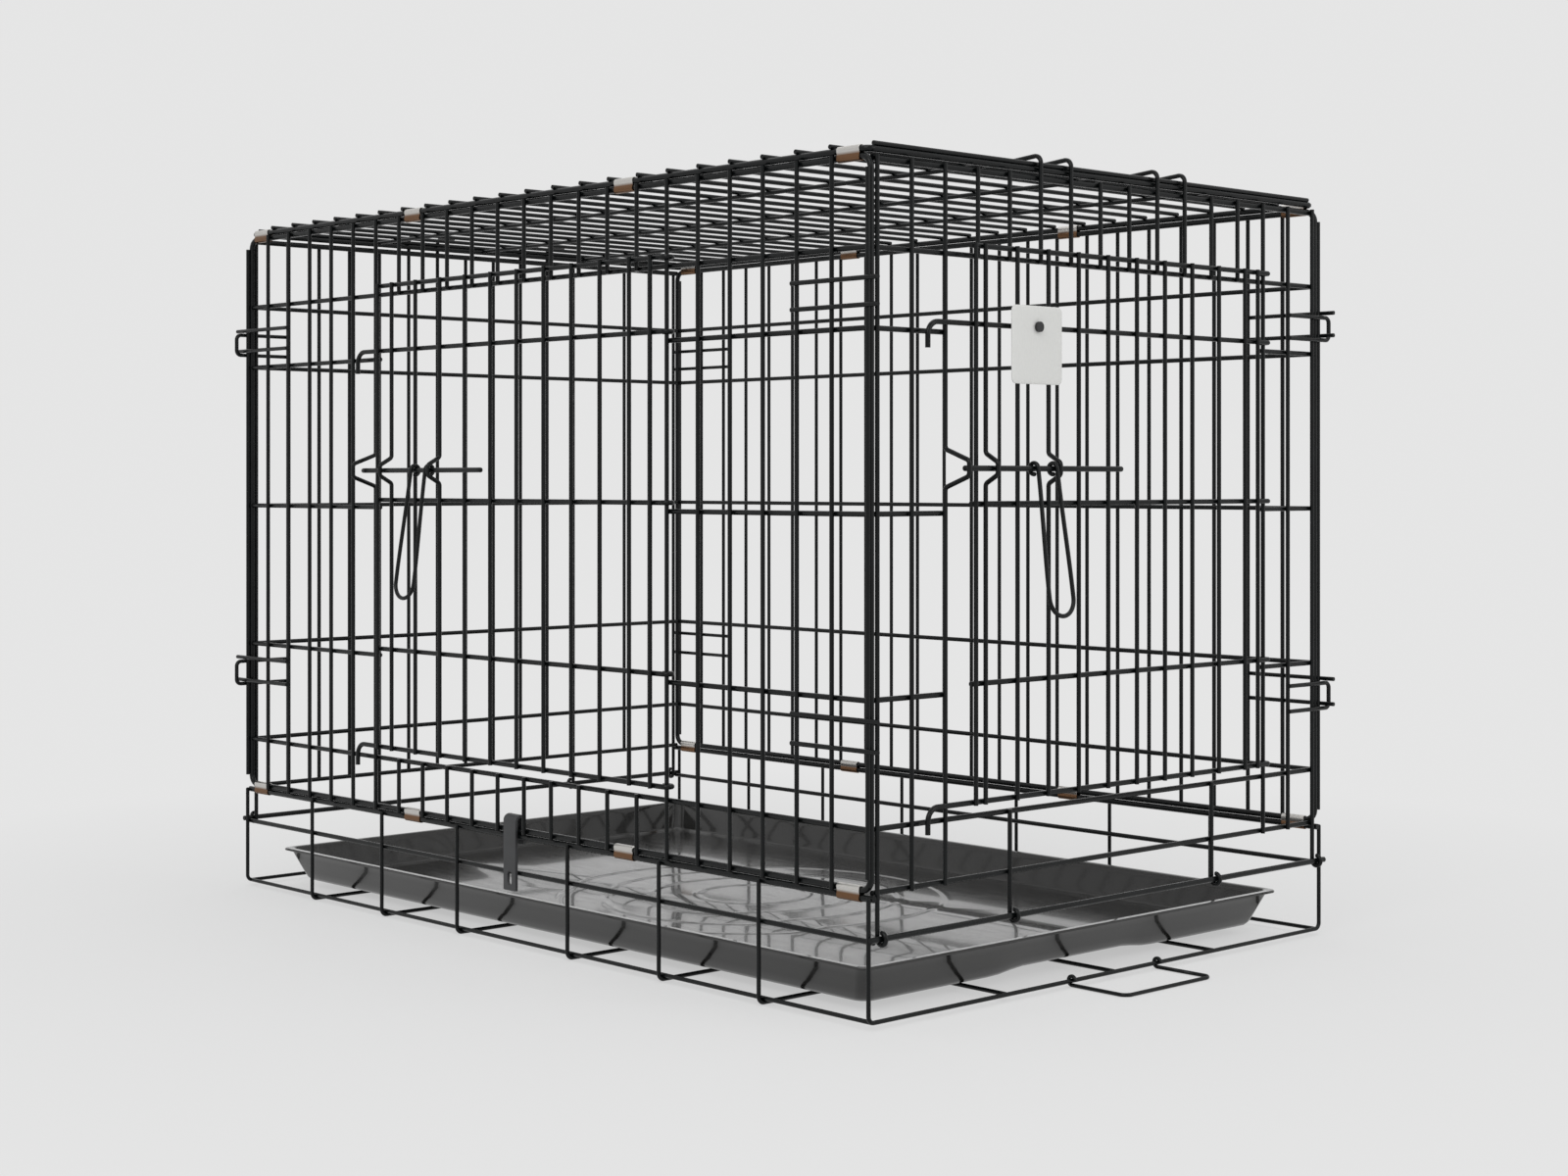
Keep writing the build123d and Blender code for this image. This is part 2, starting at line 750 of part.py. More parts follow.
def carry_handle():
    """The plastic strap handle, arched over the rails of the near side."""
    rail_inner = FRAME_OUT - FRAME / 2
    rail_outer = FRAME_OUT + FRAME / 2
    outer_leg = rail_outer + SEAT_CLEAR
    inner_leg = rail_inner - SEAT_CLEAR
    arch = (outer_leg - inner_leg) / 2
    centre = (outer_leg + inner_leg) / 2
    spring = STRAP_TOP - STRAP_THICK - arch
    along = side_bar(STRAP_BAY) + SIDE_PITCH / 2
    plane = Plane(
        origin=near_side(along - STRAP_WIDTH / 2, centre, 0),
        x_dir=-outward(near_side),
        z_dir=-across(near_side),
    )
    ring = Pos(0, spring) * (Circle(arch + STRAP_THICK) - Circle(arch))
    cut = Pos(0, spring - STRAP_TOP) * Rectangle(STRAP_TOP, 2 * STRAP_TOP)
    upper = ring - cut
    outer_height = spring - STRAP_FOOT
    inner_height = spring - STRAP_INNER_FOOT
    leg = arch + STRAP_THICK / 2
    outer = Pos(-leg, spring - outer_height / 2) * Rectangle(STRAP_THICK, outer_height)
    inner = Pos(leg, spring - inner_height / 2) * Rectangle(STRAP_THICK, inner_height)
    profile = plane * (upper + outer + inner)
    strap = extrude(profile, amount=-STRAP_WIDTH)
    slot_plane = Plane(
        origin=near_side(along, centre, STRAP_FOOT + STRAP_SLOT_ABOVE),
        x_dir=UP,
        z_dir=outward(near_side),
    )
    slot = slot_plane * SlotOverall(STRAP_SLOT_LENGTH, STRAP_SLOT_WIDTH)
    return strap - extrude(slot, amount=arch + 2 * STRAP_THICK)


def write(name, pieces):
    """Writes one node's solids to its own file."""
    solids = []
    for piece in pieces:
        solids += piece.solids()
    export_step(Compound(label=name, children=solids), f"parts/{name}.step")


front_way = Doorway(
    front_end, end_bar, FRONT_KEEPER, FRONT_HINGE, FRONT_LATCH_EDGE, FRONT_HINGE_EDGE
)
side_way = Doorway(
    near_side, side_bar, SIDE_KEEPER, SIDE_HINGE, SIDE_LATCH_EDGE, SIDE_HINGE_EDGE
)
front_opening = range(FRONT_KEEPER + 1, FRONT_HINGE)
side_opening = range(SIDE_HINGE + 1, SIDE_KEEPER)

nodes = {
    "base_floor_wires": base_floor_wires(),
    "base_cross_wires": base_cross_wires(),
    "base_side_rails": base_side_rails(),
    "base_front_hinge_wire": [base_hinge_wire(1)],
    "base_rear_hinge_wire": [base_hinge_wire(-1)],
    "near_side_frame": side_frame(near_side),
    "near_side_bars": side_bars(near_side, side_opening, (SIDE_KEEPER,)),
    "near_side_rails": side_rails(near_side, (SIDE_HINGE, SIDE_KEEPER)),
    "near_side_corner_wires": corner_wires(near_side),
    "near_side_bolt_keeper": bolt_keeper(side_way, PANEL_LOW, PANEL_HIGH),
    "far_side_frame": side_frame(far_side),
    "far_side_bars": side_bars(far_side),
    "far_side_rails": side_rails(far_side),
    "far_side_corner_wires": corner_wires(far_side),
    "roof_frame": roof_frame(),
    "roof_bars": roof_bars(),
    "roof_ribs": roof_ribs(),
    "base_clips": side_clips(near_side, CLIP_LINE) + side_clips(far_side, CLIP_LINE),
    "roof_clips": side_clips(near_side, PANEL_HIGH + PANEL_GAP / 2)
    + side_clips(far_side, PANEL_HIGH + PANEL_GAP / 2),
    "carry_handle": [carry_handle()],
    "front_end_bars": end_bars(front_end, front_opening, (FRONT_KEEPER,)),
    "front_end_rails": end_rails(front_end, (FRONT_KEEPER, FRONT_HINGE)),
    "front_end_hinge_eyes": foot_eyes(front_end),
    "front_end_roof_hooks": hook_bars(front_end, front_opening),
    "front_end_snap_loops": snap_loops(front_end),
    "front_end_bolt_keeper": bolt_keeper(
        front_way, END_BOTTOM_RAIL - RAIL / 2, END_TOP + FRAME / 2
    ),
    "rear_end_bars": end_bars(rear_end),
    "rear_end_rails": end_rails(rear_end),
    "rear_end_hinge_eyes": foot_eyes(rear_end),
    "rear_end_roof_hooks": hook_bars(rear_end),
    "rear_end_snap_loops": snap_loops(rear_end),
    "card": [card(front_way)],
    "card_tie": [card_tie(front_way)],
    "tray": tray(),
    "tray_gate": tray_gate(),
}
for door, way in (("front", front_way), ("side", side_way)):
    nodes[f"{door}_door_bars"] = door_bars(way)
    nodes[f"{door}_door_rails"] = door_rails(way)
    nodes[f"{door}_door_stop_rails"] = door_stop_rails(way)
    nodes[f"{door}_door_hinge_eyes"] = door_eyes(way)
    nodes[f"{door}_door_bolt_guides"] = bolt_guides(way)
    nodes[f"{door}_bolt_rod"] = [bolt_rod(way)]
    nodes[f"{door}_bolt_grip"] = bolt_grip(way)

os.makedirs("parts", exist_ok=True)
for name, pieces in nodes.items():
    write(name, pieces)
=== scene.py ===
import math
import bpy
import bmesh
import numpy as np
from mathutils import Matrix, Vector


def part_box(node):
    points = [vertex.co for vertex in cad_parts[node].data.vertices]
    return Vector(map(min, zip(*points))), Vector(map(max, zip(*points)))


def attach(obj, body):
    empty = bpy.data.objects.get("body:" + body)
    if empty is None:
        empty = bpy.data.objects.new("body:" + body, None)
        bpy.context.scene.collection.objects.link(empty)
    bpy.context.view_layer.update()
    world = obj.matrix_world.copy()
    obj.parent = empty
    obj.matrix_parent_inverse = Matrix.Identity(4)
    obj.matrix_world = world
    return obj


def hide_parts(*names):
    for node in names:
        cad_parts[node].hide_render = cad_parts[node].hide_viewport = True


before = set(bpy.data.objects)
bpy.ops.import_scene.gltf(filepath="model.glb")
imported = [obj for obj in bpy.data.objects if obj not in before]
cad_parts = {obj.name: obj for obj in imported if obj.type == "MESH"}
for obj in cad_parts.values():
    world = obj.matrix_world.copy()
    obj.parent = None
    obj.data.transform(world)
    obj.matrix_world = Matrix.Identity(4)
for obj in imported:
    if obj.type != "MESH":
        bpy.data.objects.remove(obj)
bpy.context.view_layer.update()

bl_info = {
    "name": "Folding wire pet crate",
    "version": (1, 0, 0),
    "blender": (4, 5, 0),
    "location": "View3D > Sidebar > Crate",
    "description": "Dresses the packed wire pet crate with its finishes, tray, bolts, clips and card",
    "category": "Object",
}

DOORS = ("front", "side")

# Places on the lattice, in metres, that no single node's box gives
CRATE_LENGTH = 0.752
END_WIRE = 0.3745
SIDE_WIRE = 0.2405
BASE_BAYS = 22
CROSS_WIRE_TOP = 0.0823
FLOOR_WIRE_HEIGHT = 0.0045
CROSS_WIRES_AT = (0, 3, 6, 9, 13, 16, 19, 22)
FLOOR_WIRES_AT = (-0.2368, -0.1113, 0.0, 0.1113, 0.2368)
SIDE_BAR_INSET = 0.0022
CLIP_HALF = (0.010, 0.0021, 0.0044)
CARD_BOW = 0.0004
TIP_DOME = 0.7
EYE_CLEARANCE = 0.0003
TRAY_RINGS_AT = (0.045, 0.082, 0.119, 0.156)
SIDE_BAR_BAYS = 23
CLIP_BAYS = (7, 15)


# Property groups: the sizes and colours that a user would change


class CrateWireSettings(bpy.types.PropertyGroup):
    """Finish of the welded wire."""

    coat_colour: bpy.props.FloatVectorProperty(
        name="Coat colour",
        description="Colour of the baked coat on every wire",
        subtype="COLOR",
        size=3,
        min=0.0,
        max=1.0,
        default=(0.0028, 0.0036, 0.0038),
    )
    coat_gloss: bpy.props.FloatProperty(
        name="Coat gloss",
        description="Strength of the clear gloss over the coat",
        default=0.08,
        min=0.0,
        max=1.0,
        subtype="FACTOR",
    )
    crease_angle: bpy.props.FloatProperty(
        name="Crease angle",
        description="Edges of the wire that are sharper than this stay sharp",
        default=math.radians(52),
        subtype="ANGLE",
        unit="ROTATION",
    )


class CrateBaseSettings(bpy.types.PropertyGroup):
    """Sizes of the basket of the base."""

    wire_diameter: bpy.props.FloatProperty(
        name="Base wire", description="Thickness of the base wires", default=0.0030, unit="LENGTH"
    )
    foot_bend: bpy.props.FloatProperty(
        name="Foot bend",
        description="Radius of the bend where a cross wire turns up",
        default=0.0045,
        unit="LENGTH",
    )


class CrateBoltSettings(bpy.types.PropertyGroup):
    """Sizes of the two slide bolts and their grips."""

    rod_diameter: bpy.props.FloatProperty(
        name="Rod diameter", description="Thickness of the sliding rod", default=0.0038, unit="LENGTH"
    )
    grip_diameter: bpy.props.FloatProperty(
        name="Grip wire", description="Thickness of the grip wire", default=0.0030, unit="LENGTH"
    )
    grip_drop: bpy.props.FloatProperty(
        name="Grip drop", description="How far the grip hangs below the rod", default=0.0985, unit="LENGTH"
    )
    grip_lean: bpy.props.FloatProperty(
        name="Grip lean",
        description="How far the grip leans out from the door",
        default=math.radians(8),
        subtype="ANGLE",
        unit="ROTATION",
    )
    grip_belly: bpy.props.FloatProperty(
        name="Grip belly",
        description="How much wider each side of the grip is near its foot",
        default=0.0024,
        unit="LENGTH",
    )


class CrateTraySettings(bpy.types.PropertyGroup):
    """Sizes and colour of the slide-out tray."""

    wall: bpy.props.FloatProperty(
        name="Wall", description="Thickness of the moulded sheet", default=0.0020, unit="LENGTH"
    )
    flange: bpy.props.FloatProperty(
        name="Flange", description="Width of the flat rim", default=0.0055, unit="LENGTH"
    )
    slope: bpy.props.FloatProperty(
        name="Wall slope",
        description="Lean of the tray walls",
        default=math.radians(22),
        subtype="ANGLE",
        unit="ROTATION",
    )
    arch_rise: bpy.props.FloatProperty(
        name="Arch rise",
        description="Height of the low arch that lets the tray pass over the eyes of the gate",
        default=0.0030,
        unit="LENGTH",
    )
    arch_half: bpy.props.FloatProperty(
        name="Arch half width", description="Half the width of the arch", default=0.052, unit="LENGTH"
    )
    rim_corner: bpy.props.FloatProperty(
        name="Rim corner", description="Radius of the rim's corners", default=0.007, unit="LENGTH"
    )
    foot_ease: bpy.props.FloatProperty(
        name="Foot ease",
        description="Height over which the wall rounds into the floor",
        default=0.0027,
        unit="LENGTH",
    )
    ring_width: bpy.props.FloatProperty(
        name="Ring width", description="Half width of a stiffening ring", default=0.0024, unit="LENGTH"
    )
    ring_height: bpy.props.FloatProperty(
        name="Ring height",
        description="Height of the stiffening rings in the floor",
        default=0.0005,
        unit="LENGTH",
    )
    colour: bpy.props.FloatVectorProperty(
        name="Tray colour",
        description="Colour of the tray plastic",
        subtype="COLOR",
        size=3,
        min=0.0,
        max=1.0,
        default=(0.0085, 0.0082, 0.0074),
    )


class CrateFittingSettings(bpy.types.PropertyGroup):
    """Sizes and colours of the clips, the card, its tie and the strap handle."""

    clip_sheet: bpy.props.FloatProperty(
        name="Clip sheet", description="Thickness of the clip steel", default=0.0008, unit="LENGTH"
    )
    clip_waist: bpy.props.FloatProperty(
        name="Clip waist",
        description="How far the clip pulls in between its two wires",
        default=0.0005,
        unit="LENGTH",
    )
    # Painted highlight: the bright upper half of each clip stands in for light falling on it from above.
    clip_painted_highlight: bpy.props.FloatVectorProperty(
        name="Clip steel",
        description="Colour of the bright upper half of a clip",
        subtype="COLOR",
        size=3,
        min=0.0,
        max=1.0,
        default=(0.60, 0.585, 0.56),
    )
    # Painted shade: the darker brown lower half of each clip stands in for the shade below.
    clip_painted_shade: bpy.props.FloatVectorProperty(
        name="Clip tint",
        description="Colour of the lacquered lower half of a clip",
        subtype="COLOR",
        size=3,
        min=0.0,
        max=1.0,
        default=(0.17, 0.092, 0.050),
    )
    card_colour: bpy.props.FloatVectorProperty(
        name="Card colour",
        description="Colour of the blank card",
        subtype="COLOR",
        size=3,
        min=0.0,
        max=1.0,
        default=(0.78, 0.78, 0.76),
    )
    strap_colour: bpy.props.FloatVectorProperty(
        name="Strap colour",
        description="Colour of the strap handle",
        subtype="COLOR",
        size=3,
        min=0.0,
        max=1.0,
        default=(0.035, 0.036, 0.038),
    )


class CrateStudioSettings(bpy.types.PropertyGroup):
    """Level of the studio light and colour of the backdrop."""

    backdrop: bpy.props.FloatVectorProperty(
        name="Backdrop",
        description="Colour of the pale floor and backdrop",
        subtype="COLOR",
        size=3,
        min=0.0,
        max=1.0,
        default=(0.787, 0.787, 0.787),
    )
    lamp_power: bpy.props.FloatProperty(
        name="Lamp power", description="Power of the main soft lamp", default=26.0, unit="POWER"
    )
    lens: bpy.props.FloatProperty(
        name="Lens", description="Focal length of the camera in millimetres", default=55.98
    )


# Surfaces on grids


def grid_mesh(points):
    """A mesh from a grid of points (rows, columns, 3).

    Face (i, j) joins points (i, j), (i, j+1), (i+1, j+1), (i+1, j), and the last column joins the
    first. The sign of the enclosed volume, a sum of p0 . (p1 x p2) / 6 over the
    triangles, says whether the faces point outwards, and turns them if they don't.
    """
    rows, columns = points.shape[:2]
    left = np.arange(rows * columns).reshape(rows, columns)
    right = np.roll(left, -1, axis=1)
    faces = np.stack([left[:-1], right[:-1], right[1:], left[1:]], axis=-1).reshape(-1, 4)
    flat = points.reshape(-1, 3)
    a, b, c, d = (flat[faces[:, k]] for k in range(4))
    volume = (a * (np.cross(b, c) + np.cross(c, d))).sum()
    if volume < 0:
        faces = faces[:, ::-1]
    return flat, faces


def build_piece(name, parts, smooth_angle=math.radians(40), share=None):
    """One object from several grids: their points and faces end to end, doubles merged.

    share, when given, is an array with one value for each point, kept as the attribute "shade".
    """
    points, faces, offset = [], [], 0
    for flat, quads in parts:
        points.append(flat)
        faces.append(quads + offset)
        offset += len(flat)
    points = np.concatenate(points)
    faces = np.concatenate(faces)
    mesh = bpy.data.meshes.new(name)
    mesh.from_pydata(points.tolist(), [], faces.tolist())
    if share is not None:
        layer = mesh.attributes.new("shade", "FLOAT", "POINT")
        layer.data.foreach_set("value", np.concatenate(share).astype(np.float32))
    work = bmesh.new()
    work.from_mesh(mesh)
    bmesh.ops.remove_doubles(work, verts=work.verts, dist=1e-6)
    bmesh.ops.dissolve_degenerate(work, dist=1e-7, edges=work.edges)
    work.to_mesh(mesh)
    work.free()
    mesh.shade_smooth()
    mesh.set_sharp_from_angle(angle=smooth_angle)
    mesh.update()
    piece = bpy.data.objects.new(name, mesh)
    bpy.context.scene.collection.objects.link(piece)
    return piece


def tube(path, radius, sides=14, helper=(0.31, 0.52, 0.79)):
    """A round rod along a path.

    At each point with tangent t and a fixed helper vector h, n = unit(t x h) and b = t x n span the
    section, and the ring is p + r (n cos a + b sin a). Each end has a domed tip: rings at
    p + t k r sin e with radius r cos e, for e from 0 to a quarter turn.
    """
    path = np.asarray(path, float)
    tangent = np.gradient(path, axis=0)
    tangent /= np.linalg.norm(tangent, axis=1, keepdims=True)
    lift = np.linspace(0, math.pi / 2, 5)[1:]
    dome = np.sin(lift)[:, None] * radius * TIP_DOME
    shrink = np.cos(lift) * radius
    shrink[-1] = 0.0
    path = np.concatenate([(path[0] - tangent[0] * dome)[::-1], path, path[-1] + tangent[-1] * dome])
    sizes = np.concatenate([shrink[::-1], np.full(len(tangent), radius), shrink])
    tangent = np.concatenate([np.repeat(tangent[:1], 4, 0), tangent, np.repeat(tangent[-1:], 4, 0)])
    normal = np.cross(tangent, np.asarray(helper, float))
    normal /= np.linalg.norm(normal, axis=1, keepdims=True)
    binormal = np.cross(tangent, normal)
    turn = np.linspace(0, 2 * math.pi, sides, endpoint=False)
    ring = normal[:, None] * np.cos(turn)[None, :, None] + binormal[:, None] * np.sin(turn)[None, :, None]
    return grid_mesh(path[:, None] + sizes[:, None, None] * ring)


def rounded_outline(half_length, half_width, corner, per_corner=16, per_side=32):
    """Points round a rounded rectangle: corner arcs c + r (cos a, sin a), joined by straight sides.

    Returns (points, 2). Corner k turns from k quarter turns to k + 1, and side k runs from the end
    of corner k to the start of corner k + 1 in equal steps.
    """
    corner = min(corner, half_length, half_width)
    quarter = np.arange(4)
    signs = np.array([[1, 1], [-1, 1], [-1, -1], [1, -1]], float)
    centres = signs * np.array([half_length - corner, half_width - corner])
    turn = (quarter[:, None] + np.linspace(0, 1, per_corner)[None]) * math.pi / 2
    arcs = centres[:, None] + corner * np.stack([np.cos(turn), np.sin(turn)], axis=-1)
    begin = arcs[:, -1]
    end = np.roll(arcs[:, 0], -1, axis=0)
    step = np.linspace(0, 1, per_side + 2)[1:-1]
    sides = begin[:, None] + (end - begin)[:, None] * step[None, :, None]
    return np.concatenate([arcs, sides], axis=1).reshape(-1, 2)


def finish_piece(piece, body, slot, material, *nodes):
    """Gives a new piece its material and its body, and hides the nodes that it stands for; slot is not
    used.
    """
    piece.data.materials.clear()
    piece.data.materials.append(material)
    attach(piece, body)
    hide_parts(*nodes)


# Materials


def new_material(name):
    """An empty node material with its shader and its Object coordinates."""
    material = bpy.data.materials.new(name)
    material.use_nodes = True
    nodes, links = material.node_tree.nodes, material.node_tree.links
    shader = nodes["Principled BSDF"]
    place = nodes.new("ShaderNodeTexCoord")
    return material, nodes, links, shader, place.outputs["Object"]


def noise(nodes, links, place, scale, detail=3.0, stretch=None):
    """Noise on Object coordinates, stretched by a Mapping node where asked."""
    if stretch:
        mapping = nodes.new("ShaderNodeMapping")
        mapping.inputs["Scale"].default_value = stretch
        links.new(place, mapping.inputs["Vector"])
        place = mapping.outputs["Vector"]
    texture = nodes.new("ShaderNodeTexNoise")
    texture.inputs["Scale"].default_value = scale
    texture.inputs["Detail"].default_value = detail
    links.new(place, texture.inputs["Vector"])
    return texture.outputs["Fac"]


def spread(nodes, links, value, low, high):
    """Maps noise between 0.3 and 0.7 to the range from low to high."""
    ranged = nodes.new("ShaderNodeMapRange")
    ranged.inputs["From Min"].default_value = 0.3
    ranged.inputs["From Max"].default_value = 0.7
    ranged.inputs["To Min"].default_value = low
    ranged.inputs["To Max"].default_value = high
    links.new(value, ranged.inputs["Value"])
    return ranged.outputs["Result"]


def two_tone(nodes, links, value, first, second):
    """A colour between two, by a value from 0 to 1."""
    ramp = nodes.new("ShaderNodeValToRGB")
    ramp.color_ramp.elements[0].color = (*first, 1.0)
    ramp.color_ramp.elements[1].color = (*second, 1.0)
    ramp.color_ramp.elements[0].position = 0.3
    ramp.color_ramp.elements[1].position = 0.7
    links.new(value, ramp.inputs["Fac"])
    return ramp.outputs["Color"]


def relief(nodes, links, shader, value, strength, distance):
    """Bump from a height value."""
    bump = nodes.new("ShaderNodeBump")
    bump.inputs["Strength"].default_value = strength
    bump.inputs["Distance"].default_value = distance
    links.new(value, bump.inputs["Height"])
    links.new(bump.outputs["Normal"], shader.inputs["Normal"])


def wire_coat(settings):
    """Glossy baked coat on steel wire: thin and thick patches and a faint orange peel."""
    material, nodes, links, shader, place = new_material("wire_coat")
    base = np.array(settings.coat_colour)
    patches = noise(nodes, links, place, 60.0, 4.0)
    tones = two_tone(nodes, links, patches, tuple(base * 0.7), tuple(base * 1.6))
    links.new(tones, shader.inputs["Base Color"])
    sheen = noise(nodes, links, place, 240.0, 2.0)
    links.new(spread(nodes, links, sheen, 0.20, 0.36), shader.inputs["Roughness"])
    relief(nodes, links, shader, noise(nodes, links, place, 420.0, 2.0), 0.06, 0.0002)
    shader.inputs["Coat Weight"].default_value = settings.coat_gloss
    shader.inputs["Coat Roughness"].default_value = 0.12
    shader.inputs["Specular IOR Level"].default_value = 0.18
    return material


def tray_plastic(settings):
    """Dark glossy sheet plastic with a fine grain and faint handling marks."""
    material, nodes, links, shader, place = new_material("tray_plastic")
    base = np.array(settings.colour)
    cloud = noise(nodes, links, place, 7.0, 4.0)
    tones = two_tone(nodes, links, cloud, tuple(base * 0.8), tuple(base * 1.3))
    links.new(tones, shader.inputs["Base Color"])
    marks = noise(nodes, links, place, 30.0, 5.0, stretch=(1.0, 5.0, 1.0))
    links.new(spread(nodes, links, marks, 0.13, 0.24), shader.inputs["Roughness"])
    relief(nodes, links, shader, noise(nodes, links, place, 700.0, 2.0), 0.10, 0.0002)
    shader.inputs["IOR"].default_value = 1.44
    shader.inputs["Coat Weight"].default_value = 0.6
    shader.inputs["Coat IOR"].default_value = 1.42
    shader.inputs["Coat Roughness"].default_value = 0.05
    return material


def clip_steel(settings):
    """Folded sheet: a painted highlight on the upper half and brown painted shade on the lower half, with
    fine rolling lines along it.
    """
    material, nodes, links, shader, place = new_material("clip_steel")
    shade = nodes.new("ShaderNodeAttribute")
    shade.attribute_name = "shade"
    # The shade attribute blends the painted shade below into the painted highlight above.
    links.new(
        two_tone(nodes, links, shade.outputs["Fac"], settings.clip_painted_shade, settings.clip_painted_highlight),
        shader.inputs["Base Color"],
    )
    lines = noise(nodes, links, place, 500.0, 3.0, stretch=(0.08, 1.0, 1.0))
    links.new(spread(nodes, links, lines, 0.22, 0.42), shader.inputs["Roughness"])
    relief(nodes, links, shader, lines, 0.15, 0.0002)
    shader.inputs["Metallic"].default_value = 1.0
    return material


def card_stock(settings):
    """Blank card with a soft fibre grain."""
    material, nodes, links, shader, place = new_material("card_stock")
    base = np.array(settings.card_colour)
    fibre = noise(nodes, links, place, 900.0, 4.0, stretch=(1.0, 1.0, 0.4))
    links.new(two_tone(nodes, links, fibre, tuple(base * 0.96), tuple(base)), shader.inputs["Base Color"])
    links.new(spread(nodes, links, fibre, 0.42, 0.56), shader.inputs["Roughness"])
    relief(nodes, links, shader, fibre, 0.15, 0.0002)
    return material


def tie_nylon():
    """Black nylon of the card tie."""
    material, nodes, links, shader, place = new_material("tie_nylon")
    grain = noise(nodes, links, place, 800.0, 2.0)
    tones = two_tone(nodes, links, grain, (0.010, 0.010, 0.011), (0.018, 0.018, 0.019))
    links.new(tones, shader.inputs["Base Color"])
    links.new(spread(nodes, links, grain, 0.36, 0.50), shader.inputs["Roughness"])
    relief(nodes, links, shader, grain, 0.10, 0.0002)
    return material


def strap_rubber(settings):
    """Satin dark strap plastic with a leather-like grain."""
    material, nodes, links, shader, place = new_material("strap_rubber")
    base = np.array(settings.strap_colour)
    cloud = noise(nodes, links, place, 90.0, 3.0)
    tones = two_tone(nodes, links, cloud, tuple(base * 0.8), tuple(base * 1.3))
    links.new(tones, shader.inputs["Base Color"])
    cells = nodes.new("ShaderNodeTexVoronoi")
    cells.inputs["Scale"].default_value = 900.0
    links.new(place, cells.inputs["Vector"])
    links.new(spread(nodes, links, cloud, 0.40, 0.52), shader.inputs["Roughness"])
    relief(nodes, links, shader, cells.outputs["Distance"], 0.22, 0.0003)
    return material


# Operators: one for each piece or group of like pieces


def rounding_group(angle):
    """A node group that merges a node's loose triangles and shades it smooth up to an angle."""
    group = bpy.data.node_groups.new("wire_rounding", "GeometryNodeTree")
    group.interface.new_socket("Geometry", in_out="INPUT", socket_type="NodeSocketGeometry")
    group.interface.new_socket("Geometry", in_out="OUTPUT", socket_type="NodeSocketGeometry")
    nodes, links = group.nodes, group.links
    enter = nodes.new("NodeGroupInput")
    leave = nodes.new("NodeGroupOutput")
    merge = nodes.new("GeometryNodeMergeByDistance")
    merge.inputs["Distance"].default_value = 2e-6
    faces = nodes.new("GeometryNodeSetShadeSmooth")
    faces.domain = "FACE"
    edges = nodes.new("GeometryNodeSetShadeSmooth")
    edges.domain = "EDGE"
    bend = nodes.new("GeometryNodeInputMeshEdgeAngle")
    compare = nodes.new("FunctionNodeCompare")
    compare.data_type = "FLOAT"
    compare.operation = "LESS_THAN"
    compare.inputs["B"].default_value = angle
    links.new(enter.outputs[0], merge.inputs["Geometry"])
    links.new(merge.outputs["Geometry"], faces.inputs["Geometry"])
    links.new(faces.outputs["Geometry"], edges.inputs["Geometry"])
    links.new(bend.outputs["Unsigned Angle"], compare.inputs["A"])
    links.new(compare.outputs["Result"], edges.inputs["Shade Smooth"])
    links.new(edges.outputs["Geometry"], leave.inputs[0])
    return group


class CRATE_OT_wire_coat(bpy.types.Operator):
    """Coats every wire of the frame, the panels and the doors, and shades it round"""

    bl_idname = "crate.wire_coat"
    bl_label = "Coat the wires"

    def execute(self, context):
        settings = context.scene.crate_wire
        coat = wire_coat(settings)
        group = rounding_group(settings.crease_angle)
        for name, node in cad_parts.items():
            node.data.materials.clear()
            node.data.materials.append(coat)
            modifier = node.modifiers.new("Rounding", "NODES")
            modifier.node_group = group
        return {"FINISHED"}


def bolt_axes(door):
    """Directions of a door's bolt: along the rod, and out from the door."""
    if door == "front":
        return np.array([0.0, 1.0, 0.0]), np.array([1.0, 0.0, 0.0])
    return np.array([1.0, 0.0, 0.0]), np.array([0.0, -1.0, 0.0])


def cross_wire(x, height, settings):
    """The line of a wire that stands up at both sides of the base and crosses under the tray.

    It comes down from the top at y = -w, turns a quarter circle c + r (cos a, sin a) at each foot,
    crosses at the given height and goes up again at y = w.
    """
    bend = settings.foot_bend
    half = SIDE_WIRE
    turn = np.linspace(math.pi, 1.5 * math.pi, 9)
    left = np.stack([bend * np.cos(turn) - half + bend, bend * np.sin(turn) + height + bend], axis=1)
    rise = np.linspace(CROSS_WIRE_TOP, height + bend, 10)[:-1]
    down = np.stack([np.full(9, -half), rise], axis=1)
    near = np.concatenate([down, left])
    far = near[::-1] * np.array([-1.0, 1.0])
    across = np.linspace(near[-1], far[0], 26)[1:-1]
    flat = np.concatenate([near, across, far])
    return np.concatenate([np.full((len(flat), 1), x), flat], axis=1)


class CRATE_OT_base_wires(bpy.types.Operator):
    """Makes the basket of the base: cross wires with upright ends, and the floor wires on them"""

    bl_idname = "crate.base_wires"
    bl_label = "Make the base wires"

    def execute(self, context):
        settings = context.scene.crate_base
        radius = settings.wire_diameter / 2
        pitch = 2 * END_WIRE / BASE_BAYS
        parts = []
        for bay in CROSS_WIRES_AT:
            # the two end wires run higher, through the eyes of the gate
            height = FLOOR_WIRE_HEIGHT if bay in (0, BASE_BAYS) else radius
            line = cross_wire(-END_WIRE + pitch * bay, height, settings)
            parts.append(tube(line, radius, 12, helper=(1.0, 0.0, 0.0)))
        share = np.linspace(-1, 1, 60)[:, None]
        for y in FLOOR_WIRES_AT:
            line = share * np.array([END_WIRE - radius, 0.0, 0.0]) + np.array([0.0, y, FLOOR_WIRE_HEIGHT])
            parts.append(tube(line, radius, 12, helper=(0.0, 0.0, 1.0)))
        basket = build_piece("base_basket", parts)
        finish_piece(
            basket,
            "crate_body",
            "black_wire",
            bpy.data.materials["wire_coat"],
            "base_cross_wires",
            "base_floor_wires",
        )
        return {"FINISHED"}


